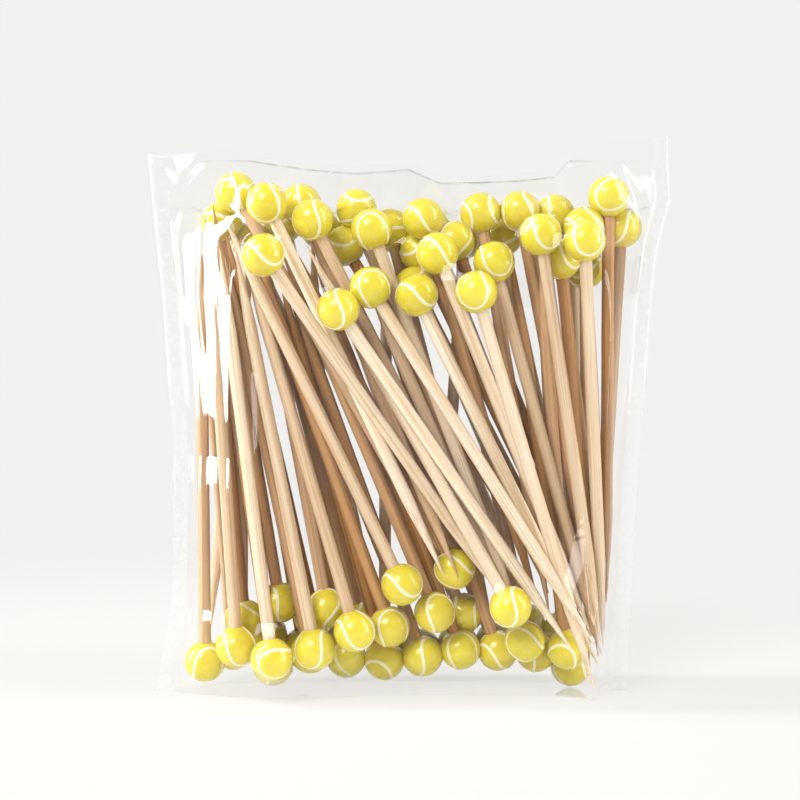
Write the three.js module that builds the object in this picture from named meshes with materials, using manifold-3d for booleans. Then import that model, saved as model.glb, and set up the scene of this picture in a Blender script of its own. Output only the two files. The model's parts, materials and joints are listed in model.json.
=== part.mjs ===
// Clear film pouch of bead-topped bamboo cocktail picks, packed heads up and heads down.
// Millimetres, +Z up, front towards -Y. The origin is the middle of the base the pouch stands on.
import * as THREE from 'three';
import Module from 'manifold-3d';
import { mergeVertices } from 'three/addons/utils/BufferGeometryUtils.js';

const wasm = await Module();
wasm.setup();

// One pick
const PICK_LENGTH = 120;
const BEAD_DIAMETER = 11.5;
const STICK_DIAMETER = 3.5;
const TAPER_LENGTH = 24;
const POINT_DIAMETER = 0.7;
const BORE_DEPTH = 8;
const GLUE_GAP = 0.2;

// The pouch
const POUCH_WIDTH = 148;
const HEADROOM = 30;
const FILM_THICKNESS = 0.12;
const WELD_WIDTH = 4;
const MOUTH_DROP = 13;
const MOUTH_SIDE_LIP = 2;
const LEAST_CREST = 1.5;
const CREST_GAP = 1.5;
const BASE_TUCK = 0.85;
const EDGE_SLOPE = 0.3;
const TAPE_THICKNESS = 0.1;

// Room between pieces, and how far a loose pick can be worked along its own length
const PIECE_GAP = 0.45;
const FILM_ROOM = 0.8;
const PLAY = 2;

// Packing: the picks start as a deep stack, one plane each, and are pressed flat step by step
const STACK_PITCH = 4;
const PRESS_STEPS = 560;
const SETTLE_STEPS = 260;
const FIRST_PRESS = 0.02;
const LAST_PRESS = 0.0015;
const FIRST_PULL = 0.2;
const LAST_PULL = 0.06;
const JOINED_PULL = 0.2;
const JOIN_STEP = 130;
const JOIN_OVERLAP = 0.55;
const NEIGHBOUR_DISTANCE = 23;
const NEIGHBOUR_STEPS = 20;
const CHECKED_SHARES = [0, 0.25, 0.5, 0.75, 1];

// Facets
const STICK_SIDES = 8;
const BEAD_SIDES = 8;
const BEAD_BANDS = 6;
const JOINED_STICK_SIDES = 6;
const JOINED_BEAD_DETAIL = 1;
const JOINED_BEAD_SWELL = 1.03;
const FILM_COLUMNS = 22;
const FILM_LEVELS = [0, 0.04, 0.1, 0.18, 0.27, 0.4, 0.54, 0.66, 0.75, 0.82, 0.88, 0.93, 0.97, 1];
const FLAP_FIRST_LEVEL = 8;
const RELAX_PASSES = 400;
const SETTLE_PASSES = 60;
const SPOTS_ACROSS = 5;
const SPOTS_UP = 8;
const LEAST_HOLD = 0.3;

const headRadius = BEAD_DIAMETER / 2;
const stickRadius = STICK_DIAMETER / 2;
const reachLength = PICK_LENGTH - headRadius;
const pouchHeight = PICK_LENGTH + HEADROOM;
const joinedSpacing = BEAD_DIAMETER - JOIN_OVERLAP;
const lowestHead = headRadius + FILM_THICKNESS + PIECE_GAP;

// Outline of the flat-on pouch. Side edges: share of the height, x as a share of the pouch width.
// Crest: x as a share of the pouch width, height above the fold.
const LEFT_EDGE = [[0, -0.486], [0.17, -0.454], [0.45, -0.448], [0.74, -0.467], [0.91, -0.484], [1, -0.492]];
const RIGHT_EDGE = [
  [0, 0.42], [0.17, 0.427], [0.45, 0.442], [0.74, 0.461], [0.83, 0.471], [0.93, 0.496], [1, 0.49],
];
const CREST_HEIGHTS = [
  [-0.5, 1.5], [-0.4, 3], [-0.21, -0.8], [-0.11, -1.9], [0, -0.8], [0.06, -4.5], [0.14, -4.5],
  [0.22, -4], [0.295, -2.8], [0.335, 3], [0.37, 4.4], [0.5, 6.7],
];

// The picks, rearmost first. Each is [head x, head distance from the pouch top (heads up) or from
// its base (heads down), lean in degrees].
const BACK_UP = [
  [-52, 17, 3], [-53, 24, -2], [-40, 13, 14], [-28, 22, 22], [-14, 14, 24],
  [0, 21, 22], [13, 13, 18], [16, 24, -3], [26, 22, 14], [38, 14, 9],
  [50, 21, 4],
];
const BACK_DOWN = [
  [-54, 9, 2], [-41, 16, 6], [-28, 9, 11], [-22, 18, 2], [-14, 17, 15],
  [-6, 12, 0], [-1, 9, 19], [12, 16, 23], [26, 9, 22], [38, 17, 15],
  [50, 10, 6],
];
const INNER_UP = [
  [62.3, 18.6, 0], [49.1, 35.5, 5], [-18.6, 12.4, 21.8], [-2.8, 9.1, 11.3], [40.1, 12, 10.2],
  [48, 17.2, 6], [53, 9.7, 3.2], [-2.6, 24.4, 30], [-18.5, 25, 33], [12.2, 22.7, 24],
  [37.1, 30.3, 12], [8.5, 43.4, 28], [4.7, 16.6, 16.7], [16.3, 16.3, 14], [27.9, 13.5, 13.5],
];
const INNER_DOWN = [
  [-47.1, 3.5, 3], [-39.9, 25.7, 8], [-19, 6.8, 11.3], [-7.6, 7.6, 14], [-29.4, 22.3, 12],
  [-14.6, 27.4, 16], [-51.8, 18.1, 2], [-30.7, 10.7, 9], [0.9, 8.9, 18], [25.2, 8.6, 17],
  [18, 23.6, 28], [35.8, 16.8, 26], [50.7, 3.4, 5.7], [15.2, 11.9, 19.3],
];
const LOOSE_LOWER = [
  ['down', -57.7, 8.8, 0.1], ['down', -46.8, 14.7, 4.4], ['down', -36.3, 12.6, 8.3],
  ['down', -26.6, 14.5, 11.3], ['down', 46.7, 12.9, 8.9], ['up', 47.4, 23.5, 7.3],
  ['up', 36.1, 22.7, 14.4], ['up', 23, 29.2, 16.6], ['down', -16.5, 19.1, 15.3],
  ['down', -5.7, 19.5, 20.1], ['down', 8.6, 25.6, 24.3], ['down', -1.3, 32.2, 26.2],
  ['down', 34.4, 16.3, 24.7],
];
const LOOSE_UPPER = [
  ['down', 11.3, 35.5, 26.7], ['up', -28.1, 6.8, 20.3], ['up', -46.8, 8, 29.4],
  ['up', -37.7, 11.9, 25.5], ['up', -10.4, 20, 20.7], ['up', 6.7, 27.4, 21.7],
  ['up', 2.7, 39.2, 29.9], ['up', 18.4, 39.8, 23], ['up', -28.8, 17.5, 27.7],
  ['up', -39.4, 27.4, 34.8], ['down', 28.6, 27.5, 29.3], ['up', -9.1, 35.9, 32],
  ['up', -19.8, 42.7, 35.2],
];

const bamboo = { color: 0xdfc193, roughness: 0.7, metalness: 0 };
const lacquer = { color: 0xe2d52f, roughness: 0.2, metalness: 0 };
const clearFilm = { color: 0xf4f6f7, roughness: 0.1, metalness: 0, transparent: true, opacity: 0.3 };
const tapeFinish = { color: 0xe8ecee, roughness: 0.4, metalness: 0, transparent: true, opacity: 0.6 };

function lookUp(pairs, at) {
  const after = pairs.findIndex(([key]) => key >= at);
  if (after === 0) return pairs[0][1];
  if (after < 0) return pairs.at(-1)[1];
  const [[key0, value0], [key1, value1]] = [pairs[after - 1], pairs[after]];
  return THREE.MathUtils.mapLinear(at, key0, key1, value0, value1);
}

const leftAt = (z) => POUCH_WIDTH * lookUp(LEFT_EDGE, z / pouchHeight);
const rightAt = (z) => POUCH_WIDTH * lookUp(RIGHT_EDGE, z / pouchHeight);
const crestAt = (x) => pouchHeight + lookUp(CREST_HEIGHTS, x / POUCH_WIDTH);

// The flap folds over at one height, or lower where the crest dips. Above the fold the film stands flat.
const foldAt = (x) => Math.min(pouchHeight, crestAt(x) - LEAST_CREST);

// A pick is the line from its head's centre to its point. Stations are distances along that line.
function planPick(facing, headX, headDistance, leanDegrees, bundle) {
  const lean = THREE.MathUtils.degToRad(leanDegrees);
  const way = facing === 'up' ? 1 : -1;
  const headZ = facing === 'up' ? pouchHeight - headDistance : Math.max(headDistance, lowestHead);
  const head = new THREE.Vector3(headX, 0, headZ);
  const along = new THREE.Vector3(way * Math.sin(lean), 0, -way * Math.cos(lean));
  const point = head.clone().addScaledVector(along, reachLength);
  const play = bundle ? 0 : PLAY;
  const headSpan = facing === 'up' ? [-play, 0] : [0, play];
  return { head, point, along, headSpan, bundle, plannedHead: head.clone(), plannedPoint: point.clone() };
}

// Head over its play, full shaft and slim end, each with the radius that covers it
const shaftSpan = [0, reachLength - TAPER_LENGTH / 2];
const slimSpan = [reachLength - TAPER_LENGTH / 2, reachLength];
const slimRadius = (stickRadius + POINT_DIAMETER / 2) / 2;
const partsOf = (pick) => [[pick.headSpan, headRadius], [shaftSpan, stickRadius], [slimSpan, slimRadius]];

// Stations where two picks' parts come closest, each kept within its part's span
function closestStations(pickA, [fromA, toA], pickB, [fromB, toB]) {
  const between = pickA.head.clone().sub(pickB.head);
  const cosine = pickA.along.dot(pickB.along);
  const [alongA, alongB] = [pickA.along.dot(between), pickB.along.dot(between)];
  const spread = Math.max(1 - cosine * cosine, 1e-6);
  let stationA = THREE.MathUtils.clamp((cosine * alongB - alongA) / spread, fromA, toA);
  const stationB = THREE.MathUtils.clamp(cosine * stationA + alongB, fromB, toB);
  stationA = THREE.MathUtils.clamp(cosine * stationB - alongA, fromA, toA);
  return [stationA, stationB];
}

const pointAt = (pick, station) => pick.head.clone().addScaledVector(pick.along, station);

// Moves a pick so that its place at the station shifts by the step, turning it about its far end
function nudge(pick, station, step, share) {
  const part = station / reachLength;
  pick.head.addScaledVector(step, share * (1 - part));
  pick.point.addScaledVector(step, share * part);
}

function refresh(pick) {
  pick.along.subVectors(pick.point, pick.head);
  const excess = pick.along.length() - reachLength;
  pick.along.normalize();
  pick.head.addScaledVector(pick.along, excess / 2);
  pick.point.addScaledVector(pick.along, -excess / 2);
}

// Sets two places of two picks at a distance: apart if they are closer, or also together if tied
function space(pickA, stationA, pickB, stationB, distance, tied) {
  const step = pointAt(pickA, stationA).sub(pointAt(pickB, stationB));
  const now = step.length();
  if (now >= distance && !tied) return;
  step.multiplyScalar((distance - now) / now);
  const yielding = (station) => (1 - station / reachLength) ** 2 + (station / reachLength) ** 2;
  const share = 1 / (yielding(stationA) + yielding(stationB));
  nudge(pickA, stationA, step, share);
  nudge(pickB, stationB, step, -share);
  refresh(pickA);
  refresh(pickB);
}

// Picks of one bundle press into each other where they touch; all others keep apart
function separate(pickA, pickB, tied) {
  const gap = pickA.bundle && pickA.bundle === pickB.bundle ? -JOIN_OVERLAP : PIECE_GAP;
  for (const [spanA, radiusA] of partsOf(pickA)) {
    for (const [spanB, radiusB] of partsOf(pickB)) {
      if (tied && radiusA === headRadius && radiusB === headRadius) continue;
      const [stationA, stationB] = closestStations(pickA, spanA, pickB, spanB);
      space(pickA, stationA, pickB, stationB, radiusA + radiusB + gap, false);
    }
  }
}

// Keeps a pick inside the pouch, with more room near the edges the further it is from the middle
function confine(pick) {
  for (const part of CHECKED_SHARES) {
    const station = part * reachLength;
    const radius = part === 0 ? headRadius : stickRadius;
    const place = pointAt(pick, station);
    const room = radius + FILM_ROOM + EDGE_SLOPE * Math.abs(place.y);
    const inset = WELD_WIDTH + room;
    const x = THREE.MathUtils.clamp(place.x, leftAt(place.z) + inset, rightAt(place.z) - inset);
    const roof = foldAt(x) - PLAY - room;
    const z = THREE.MathUtils.clamp(place.z, radius + FILM_THICKNESS + PIECE_GAP, roof);
    const share = 1 / ((1 - part) ** 2 + part ** 2);
    nudge(pick, station, new THREE.Vector3(x - place.x, 0, z - place.z), share);
  }
}

const nearPairs = (picks) => picks.flatMap((pickA, index) => picks.slice(0, index)
  .filter((pickB) => {
    const [stationA, stationB] = closestStations(pickA, shaftSpan, pickB, shaftSpan);
    return pointAt(pickA, stationA).distanceTo(pointAt(pickB, stationB)) < NEIGHBOUR_DISTANCE;
  })
  .map((pickB) => [pickA, pickB]));

// Neighbouring heads of each bundle, linked so that the whole bundle hangs together
function bundleTies(picks) {
  const ties = [];
  for (const bundle of new Set(picks.map((pick) => pick.bundle).filter(Boolean))) {
    const waiting = picks.filter((pick) => pick.bundle === bundle);
    const linked = [waiting.pop()];
    while (waiting.length) {
      const links = waiting.flatMap((pick) => linked.map((other) => [pick, other]));
      const spans = links.map(([pick, other]) => pick.head.distanceTo(other.head));
      const [pick, other] = links[spans.indexOf(Math.min(...spans))];
      ties.push([pick, other]);
      linked.push(...waiting.splice(waiting.indexOf(pick), 1));
    }
  }
  return ties;
}

const isTied = (ties, pickA, pickB) => ties.some((tie) => tie.includes(pickA) && tie.includes(pickB));

function packPicks(picks) {
  picks.forEach((pick, order) => {
    const depth = ((picks.length - 1) / 2 - order) * STACK_PITCH;
    pick.head.y = depth;
    pick.point.y = depth;
  });
  let pairs = [];
  let ties = [];
  for (let step = 0; step < PRESS_STEPS + SETTLE_STEPS; step += 1) {
    const progress = Math.min(step / PRESS_STEPS, 1);
    const settling = step >= PRESS_STEPS;
    const press = settling ? 0 : THREE.MathUtils.lerp(FIRST_PRESS, LAST_PRESS, progress);
    const pull = settling ? 0 : THREE.MathUtils.lerp(FIRST_PULL, LAST_PULL, progress);
    if (step % NEIGHBOUR_STEPS === 0) pairs = nearPairs(picks);
    if (step === JOIN_STEP) ties = bundleTies(picks);
    for (const pick of picks) {
      for (const [place, planned] of [[pick.head, pick.plannedHead], [pick.point, pick.plannedPoint]]) {
        const hold = pick.bundle ? pull * JOINED_PULL : pull;
        place.x += (planned.x - place.x) * hold;
        place.z += (planned.z - place.z) * hold;
        place.y *= 1 - press;
      }
      confine(pick);
      refresh(pick);
    }
    for (const [pickA, pickB] of ties) space(pickA, 0, pickB, 0, joinedSpacing, true);
    for (const [pickA, pickB] of pairs) separate(pickA, pickB, isTied(ties, pickA, pickB));
  }
}

const joined = (bundle, facing, specs) => specs.map((spec) => planPick(facing, ...spec, bundle));
const loose = (specs) => specs.map((spec) => planPick(...spec, null));
const loosePicks = [...loose(LOOSE_LOWER), ...loose(LOOSE_UPPER)];
const picks = [
  ...joined('back_picks_heads_up', 'up', BACK_UP),
  ...joined('back_picks_heads_down', 'down', BACK_DOWN),
  ...joined('inner_picks_heads_up', 'up', INNER_UP),
  ...joined('inner_picks_heads_down', 'down', INNER_DOWN),
  ...loosePicks,
];
packPicks(picks);

// How far out a surface must lie at x, z to clear a pick with some room, front or back
function coverOf(pick, x, z, room, way) {
  let cover = -Infinity;
  for (const [[from, to], radius] of partsOf(pick)) {
    const flat = Math.hypot(pick.along.x, pick.along.z);
    const station = ((x - pick.head.x) * pick.along.x + (z - pick.head.z) * pick.along.z) / flat ** 2;
    const nearest = THREE.MathUtils.clamp(station, from, to);
    const place = pointAt(pick, nearest);
    const away = Math.hypot(x - place.x, z - place.z);
    const reach = radius + room;
    if (away < reach) cover = Math.max(cover, way * place.y + Math.sqrt(reach ** 2 - away ** 2));
  }
  return cover;
}

// Closed solids of one pick, head's centre at the origin and the point along -Y
function headArc(startAngle, bands) {
  return Array.from({ length: bands + 1 }, (_, index) => {
    const angle = THREE.MathUtils.lerp(startAngle, Math.PI / 2, index / bands);
    const across = index === bands ? 0 : headRadius * Math.cos(angle);
    return new THREE.Vector2(across, headRadius * Math.sin(angle));
  });
}

function beadGeometry() {
  const bore = stickRadius + GLUE_GAP;
  const mouthAngle = -Math.acos(bore / headRadius);
  const boreEnd = headRadius * Math.sin(mouthAngle) + BORE_DEPTH;
  const boreFloor = [new THREE.Vector2(0, boreEnd), new THREE.Vector2(bore, boreEnd)];
  return new THREE.LatheGeometry([...boreFloor, ...headArc(mouthAngle, BEAD_BANDS)], BEAD_SIDES);
}

function shaftProfile(topY) {
  return [
    new THREE.Vector2(0, -reachLength),
    new THREE.Vector2(POINT_DIAMETER / 2, -reachLength),
    new THREE.Vector2(stickRadius, TAPER_LENGTH - reachLength),
    new THREE.Vector2(stickRadius, topY),
  ];
}

function stickGeometry() {
  const mouth = -Math.sqrt(headRadius ** 2 - (stickRadius + GLUE_GAP) ** 2);
  const stickEnd = mouth + BORE_DEPTH - GLUE_GAP;
  return new THREE.LatheGeometry([...shaftProfile(stickEnd), new THREE.Vector2(0, stickEnd)], STICK_SIDES);
}

function joinedPickSolid() {
  const stick = new THREE.LatheGeometry([...shaftProfile(0), new THREE.Vector2(0, 0)], JOINED_STICK_SIDES);
  const head = new THREE.IcosahedronGeometry(headRadius * JOINED_BEAD_SWELL, JOINED_BEAD_DETAIL);
  return toSolid(stick).add(toSolid(head));
}

function toSolid(geometry) {
  const bare = geometry.clone();
  bare.deleteAttribute('normal');
  bare.deleteAttribute('uv');
  const merged = mergeVertices(bare, 1e-4);
  return new wasm.Manifold(new wasm.Mesh({
    numProp: 3,
    vertProperties: new Float32Array(merged.attributes.position.array),
    triVerts: new Uint32Array(merged.index.array),
  }));
}

function toGeometry(solid) {
  const { vertProperties, triVerts } = solid.getMesh();
  const geometry = new THREE.BufferGeometry();
  geometry.setAttribute('position', new THREE.BufferAttribute(vertProperties, 3));
  geometry.setIndex(new THREE.BufferAttribute(triVerts, 1));
  geometry.computeVertexNormals();
  return geometry;
}

function placeOnPick(object, pick) {
  object.quaternion.setFromUnitVectors(new THREE.Vector3(0, -1, 0), pick.along);
  object.position.copy(pick.head);
  object.updateMatrix();
}

function bundleGeometry(bundle) {
  const onePick = joinedPickSolid();
  const solids = picks.filter((pick) => pick.bundle === bundle).map((pick) => {
    const place = new THREE.Object3D();
    placeOnPick(place, pick);
    return onePick.transform(place.matrix.elements);
  });
  return toGeometry(wasm.Manifold.union(solids));
}

const foldLevel = FILM_LEVELS.length - 1;

// Film surface as rows of points from weld to weld, from the base up to the fold and then the crest
function outlineRows() {
  const shares = Array.from({ length: FILM_COLUMNS + 1 }, (_, column) => {
    const even = (column - 1) / (FILM_COLUMNS - 2) * 2 - 1;
    return (even + Math.sin(even * Math.PI / 2)) / 2;
  });
  const rowOf = (heightAt) => shares.map((share, column) => {
    const z = heightAt(THREE.MathUtils.clamp(share, -1, 1) * POUCH_WIDTH / 2);
    const [left, right] = [leftAt(z), rightAt(z)];
    if (column === 0) return new THREE.Vector3(left, 0, z);
    if (column === FILM_COLUMNS) return new THREE.Vector3(right, 0, z);
    const x = THREE.MathUtils.mapLinear(share, -1, 1, left + WELD_WIDTH, right - WELD_WIDTH);
    return new THREE.Vector3(x, 0, z);
  });
  return [...FILM_LEVELS.map((level) => rowOf((x) => level * foldAt(x))), rowOf(crestAt)];
}

const isFree = (level, column) => level < foldLevel && column > 1 && column < FILM_COLUMNS - 1;

// Spots on the film's facets where it must clear the picks: its three corners with their shares
function coverSpots(way, rows) {
  const spots = [];
  for (let level = 0; level < foldLevel; level += 1) {
    for (let column = 1; column < FILM_COLUMNS - 1; column += 1) {
      for (let i = 0; i < SPOTS_ACROSS; i += 1) {
        for (let j = 0; j < SPOTS_UP; j += 1) {
          const [across, up] = [(i + 0.5) / SPOTS_ACROSS, (j + 0.5) / SPOTS_UP];
          const corners = across > up
            ? [[level, column, 1 - across], [level, column + 1, across - up], [level + 1, column + 1, up]]
            : [[level, column, 1 - up], [level + 1, column + 1, across], [level + 1, column, up - across]];
          const spot = new THREE.Vector3();
          corners.forEach(([row, place, share]) => spot.addScaledVector(rows[row][place], share));
          const covers = picks.map((pick) => coverOf(pick, spot.x, spot.z, FILM_ROOM + FILM_THICKNESS, way));
          const cover = Math.max(...covers);
          const held = corners.filter(([row, place]) => isFree(row, place));
          const hold = held.reduce((sum, [, , share]) => sum + share, 0);
          if (cover > CREST_GAP / 2 && hold > LEAST_HOLD) spots.push({ corners, held, cover });
        }
      }
    }
  }
  return spots;
}

// Moves the corners of each facet out until it clears the picks
function pushOut(depths, spots) {
  for (const { corners, held, cover } of spots) {
    const depth = corners.reduce((sum, [row, column, share]) => sum + share * depths[row][column], 0);
    const weight = held.reduce((sum, [, , share]) => sum + share ** 2, 0);
    if (depth < cover) {
      held.forEach(([row, column, share]) => {
        depths[row][column] += share * (cover - depth) / weight;
      });
    }
  }
}

// Depth at which a point lies taut between its neighbours beside it and above and below it
function tautDepth(depths, rows, level, column) {
  const ties = [
    [[level, column - 1], [level, column + 1]],
    [[level - 1, column], [level + 1, column]],
  ];
  let [pull, stiffness] = [0, 0];
  for (const pair of ties) {
    const lengths = pair.map(([row, place]) => rows[row][place].distanceTo(rows[level][column]));
    pair.forEach(([row, place], end) => {
      const tie = 1 / (lengths[end] * (lengths[0] + lengths[1]));
      pull += tie * depths[row][place];
      stiffness += tie;
    });
  }
  return pull / stiffness;
}

// Depth of each point: pushed out by the picks and drawn taut between them
function filmDepths(way, rows) {
  const spots = coverSpots(way, rows);
  const depths = rows.map((row, level) => row.map((point, column) =>
    (column < 2 || column > FILM_COLUMNS - 2 ? FILM_THICKNESS : CREST_GAP / 2)));
  for (let pass = 0; pass < RELAX_PASSES; pass += 1) {
    for (let level = 0; level < foldLevel; level += 1) {
      for (let column = 2; column < FILM_COLUMNS - 1; column += 1) {
        depths[level][column] = level > 0
          ? tautDepth(depths, rows, level, column)
          : BASE_TUCK * depths[1][column];
      }
    }
    pushOut(depths, spots);
  }
  for (let pass = 0; pass < SETTLE_PASSES; pass += 1) pushOut(depths, spots);
  return depths;
}

const outline = outlineRows();
const frontDepths = filmDepths(-1, outline);
const backDepths = filmDepths(1, outline);

const skin = (depths, way, offset) => outline.map((row, level) =>
  row.map((point, column) => new THREE.Vector3(point.x, way * (depths[level][column] + offset), point.z)));
const frontSkin = (offset) => skin(frontDepths, -1, offset);
const backSkin = (offset) => skin(backDepths, 1, offset);

// Closed solid between two grids of points, the first one towards -Y
function slabGeometry(front, back) {
  const places = new Map();
  const positions = [];
  const triangles = [];
  const vertex = (point) => {
    const key = point.toArray().map((value) => value.toFixed(4)).join();
    if (!places.has(key)) places.set(key, positions.push(point.x, point.y, point.z) / 3 - 1);
    return places.get(key);
  };
  const face = (a, b, c) => {
    const corners = [a, b, c].map(vertex);
    if (new Set(corners).size === 3) triangles.push(...corners);
  };
  const quad = (a, b, c, d) => {
    face(a, b, c);
    face(a, c, d);
  };
  const top = front.length - 1;
  const end = front[0].length - 1;
  for (let row = 0; row < top; row += 1) {
    for (let column = 0; column < end; column += 1) {
      quad(front[row][column], front[row][column + 1], front[row + 1][column + 1], front[row + 1][column]);
      quad(back[row][column], back[row + 1][column], back[row + 1][column + 1], back[row][column + 1]);
    }
    quad(front[row][0], front[row + 1][0], back[row + 1][0], back[row][0]);
    quad(front[row][end], back[row][end], back[row + 1][end], front[row + 1][end]);
  }
  for (let column = 0; column < end; column += 1) {
    quad(front[0][column], back[0][column], back[0][column + 1], front[0][column + 1]);
    quad(front[top][column], front[top][column + 1], back[top][column + 1], back[top][column]);
  }
  const geometry = new THREE.BufferGeometry();
  geometry.setAttribute('position', new THREE.Float32BufferAttribute(positions, 3));
  geometry.setIndex(triangles);
  geometry.computeVertexNormals();
  return geometry;
}

const raised = (row, lift) => row.map((point) => new THREE.Vector3(point.x, point.y, point.z + lift));

// The inside of the pouch, from just above the base film out through the crest, between the welds
function cavityGeometry() {
  const lining = (skinRows) => {
    const [base, ...upper] = skinRows.map((row) => row.slice(1, -1));
    return [raised(base, FILM_THICKNESS), ...upper, raised(upper.at(-1), HEADROOM)];
  };
  return slabGeometry(lining(frontSkin(-FILM_THICKNESS)), lining(backSkin(-FILM_THICKNESS)));
}

const mouthHeight = pouchHeight - MOUTH_DROP;

// The back film ends lower than the front, which runs on over the crest as the closing flap
function mouthCutGeometry() {
  const inset = WELD_WIDTH + MOUTH_SIDE_LIP;
  const [left, right] = [leftAt(mouthHeight) + inset, rightAt(mouthHeight) - inset];
  const depth = POUCH_WIDTH / 2;
  const mouth = new THREE.BoxGeometry(right - left, depth, HEADROOM);
  return mouth.translate((left + right) / 2, depth / 2, mouthHeight + HEADROOM / 2);
}

function pouchGeometry() {
  const outer = toSolid(slabGeometry(frontSkin(0), backSkin(0)));
  return toGeometry(outer.subtract(toSolid(cavityGeometry())).subtract(toSolid(mouthCutGeometry())));
}

const tapeOffset = PIECE_GAP;
const flapOffset = tapeOffset + TAPE_THICKNESS + PIECE_GAP;

function flapGeometry() {
  const rows = (offset) => backSkin(offset).slice(FLAP_FIRST_LEVEL, -1);
  return slabGeometry(rows(flapOffset), rows(flapOffset + FILM_THICKNESS));
}

function tapeGeometry() {
  const rows = (offset) => backSkin(offset)
    .slice(FLAP_FIRST_LEVEL, FLAP_FIRST_LEVEL + 2)
    .map((row) => row.slice(2, -2));
  return slabGeometry(rows(tapeOffset), rows(tapeOffset + TAPE_THICKNESS));
}

const pack = new THREE.Group();

function addMesh(name, geometry, finish) {
  const mesh = new THREE.Mesh(geometry, new THREE.MeshStandardMaterial(finish));
  mesh.name = name;
  pack.add(mesh);
  return mesh;
}

addMesh('pouch_film', pouchGeometry(), clearFilm);
addMesh('closing_flap', flapGeometry(), clearFilm);
addMesh('adhesive_strip', tapeGeometry(), tapeFinish);
for (const bundle of new Set(picks.map((pick) => pick.bundle).filter(Boolean))) {
  addMesh(bundle, bundleGeometry(bundle), bamboo);
}

loosePicks.forEach((pick, index) => {
  const number = String(index + 1).padStart(2, '0');
  placeOnPick(addMesh(`stick_${number}`, stickGeometry(), bamboo), pick);
  placeOnPick(addMesh(`bead_${number}`, beadGeometry(), lacquer), pick);
});

// Stands the pack with its origin under the middle of its depth
const reach = new THREE.Box3().setFromObject(pack);
pack.position.y = -(reach.min.y + reach.max.y) / 2;
const group = new THREE.Group();
group.add(pack);

export default group;
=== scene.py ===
"""Clear film pouch of ball-headed bamboo cocktail picks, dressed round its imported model."""

import json
import math

import bmesh
import bpy
import numpy as np
from mathutils import Euler, Matrix, Vector

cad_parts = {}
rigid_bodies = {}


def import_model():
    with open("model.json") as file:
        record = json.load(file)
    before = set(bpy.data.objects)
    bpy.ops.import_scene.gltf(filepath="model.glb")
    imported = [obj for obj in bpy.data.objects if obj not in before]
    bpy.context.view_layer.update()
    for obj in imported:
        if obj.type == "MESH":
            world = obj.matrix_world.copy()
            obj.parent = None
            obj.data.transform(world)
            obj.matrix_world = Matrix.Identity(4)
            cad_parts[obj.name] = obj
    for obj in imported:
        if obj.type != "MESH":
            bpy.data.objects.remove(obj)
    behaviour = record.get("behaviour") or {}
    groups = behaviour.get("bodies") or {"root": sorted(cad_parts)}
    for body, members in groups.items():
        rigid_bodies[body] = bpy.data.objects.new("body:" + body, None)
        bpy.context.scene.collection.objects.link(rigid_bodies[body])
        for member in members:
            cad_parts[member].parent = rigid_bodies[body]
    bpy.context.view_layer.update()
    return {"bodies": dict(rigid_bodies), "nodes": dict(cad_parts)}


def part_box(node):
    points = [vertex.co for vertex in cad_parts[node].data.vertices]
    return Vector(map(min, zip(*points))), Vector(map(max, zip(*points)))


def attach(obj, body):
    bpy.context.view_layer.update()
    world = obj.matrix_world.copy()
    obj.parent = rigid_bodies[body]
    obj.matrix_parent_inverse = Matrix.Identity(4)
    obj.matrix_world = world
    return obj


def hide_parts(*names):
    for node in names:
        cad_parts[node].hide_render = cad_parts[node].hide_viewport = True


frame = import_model()
bpy.ops.object.select_all(action="DESELECT")

MM = 0.001

# ---- Camera: the photograph's view, nearly level, with the front heads at 3.7 pixels to a millimetre
FRONT_HEADS_Y = -17 * MM
CAMERA_DISTANCE = 400 * MM
CAMERA_HEIGHT = 101 * MM
PICTURE_WIDTH = 216.2 * MM
PICTURE_MIDDLE = Vector((-2.54 * MM, FRONT_HEADS_Y, 83.5 * MM))
SENSOR_WIDTH = 36

camera_data = bpy.data.cameras.new("camera")
camera_data.sensor_width = SENSOR_WIDTH
camera_data.lens = SENSOR_WIDTH * CAMERA_DISTANCE / PICTURE_WIDTH
camera = bpy.data.objects.new("camera", camera_data)
bpy.context.scene.collection.objects.link(camera)
camera.location = (PICTURE_MIDDLE.x, FRONT_HEADS_Y - CAMERA_DISTANCE, CAMERA_HEIGHT)
camera.rotation_euler = (PICTURE_MIDDLE - camera.location).to_track_quat("-Z", "Y").to_euler()
bpy.context.scene.camera = camera

# ---- Sizes, the same as the solids have
PICK_LENGTH = 120 * MM
BEAD_RADIUS = 5.75 * MM
STICK_RADIUS = 1.75 * MM
TAPER_LENGTH = 24 * MM
REACH = PICK_LENGTH - BEAD_RADIUS
BORE_RADIUS = 1.95 * MM
BORE_DEPTH = 8 * MM
GLUE_GAP = 0.2 * MM
POUCH_WIDTH = 148 * MM
POUCH_HEIGHT = 150 * MM
WELD_WIDTH = 4 * MM
MOUTH_HEIGHT = 137 * MM
LEAST_CREST = 1.5 * MM

# ---- Outline of the pouch, laid flat
# Side edges: share of the height, x as a share of the pouch width. Crest: the same share, mm above the fold
LEFT_EDGE = np.array([
    [0, -0.486], [0.17, -0.454], [0.45, -0.448], [0.74, -0.467], [0.91, -0.484], [1, -0.492]])
RIGHT_EDGE = np.array([
    [0, 0.42], [0.17, 0.427], [0.45, 0.442], [0.74, 0.461], [0.83, 0.471], [0.93, 0.496], [1, 0.49]])
CREST_HEIGHTS = np.array([
    [-0.5, 1.5], [-0.4, 3], [-0.21, -0.8], [-0.11, -1.9], [0, -0.8], [0.06, -4.5], [0.14, -4.5],
    [0.22, -4], [0.295, -2.8], [0.335, 3], [0.37, 4.4], [0.5, 6.7]])


def side_at(edge, height):
    return POUCH_WIDTH * np.interp(height / POUCH_HEIGHT, edge[:, 0], edge[:, 1])


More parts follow.
